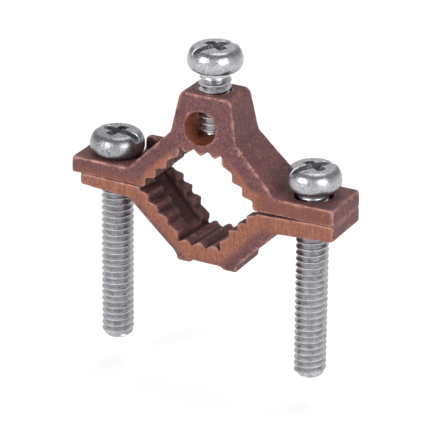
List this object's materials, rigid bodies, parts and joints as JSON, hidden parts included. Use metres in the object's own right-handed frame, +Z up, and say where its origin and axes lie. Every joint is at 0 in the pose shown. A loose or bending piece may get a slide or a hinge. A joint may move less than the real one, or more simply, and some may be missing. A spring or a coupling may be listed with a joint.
{
  "type": "grounding clamp",
  "caption": "Cast ground clamp for pipe: toothed jaws drawn together by clamp screws, with an earth wire bore and its set screw in a tower on top.",
  "frame": {"origin": "middle of the closed pipe opening, on the plane where the two jaws part, halfway through their depth", "axes": "+X from the slotted ear to the ear with the round hole, +Y along the pipe towards the back, +Z up along the clamp screws towards their heads"},
  "size_m": [0.055, 0.0116, 0.0637],
  "materials": {
    "cast_bronze": "purple-brown patina over a cast skin, rubbed to copper along the edges",
    "zinc_steel": "zinc plated, mottled"
  },
  "bodies": {
    "upper_jaw": {"upper_jaw": "cast_bronze"},
    "lower_jaw": {"lower_jaw": "cast_bronze"},
    "left_clamp_screw": {"left_clamp_screw": "zinc_steel"},
    "right_clamp_screw": {"right_clamp_screw": "zinc_steel"},
    "wire_set_screw": {"wire_set_screw": "zinc_steel"}
  },
  "joints": [
    {"name": "lower_jaw_slide", "type": "slide", "parent": "upper_jaw", "child": "lower_jaw", "axis": [0, 0, 1], "range_m": [-0.0255, 0]},
    {"name": "left_screw_turn", "type": "hinge", "parent": "upper_jaw", "child": "left_clamp_screw", "pos_m": [-0.0207, 0, 0], "axis": [0, 0, 1], "range_deg": [0, 7228]},
    {"name": "right_screw_turn", "type": "hinge", "parent": "upper_jaw", "child": "right_clamp_screw", "pos_m": [0.0207, 0, 0], "axis": [0, 0, 1], "range_deg": [0, 7228]},
    {"name": "wire_set_screw_slide", "type": "slide", "parent": "upper_jaw", "child": "wire_set_screw", "axis": [0, 0, 1], "range_m": [-0.001, 0.0055]}
  ],
  "couplings": [
    {"joint": "left_screw_turn", "follows": "lower_jaw_slide", "rad_per_m": -4947.4},
    {"joint": "right_screw_turn", "follows": "lower_jaw_slide", "rad_per_m": -4947.4}
  ]
}
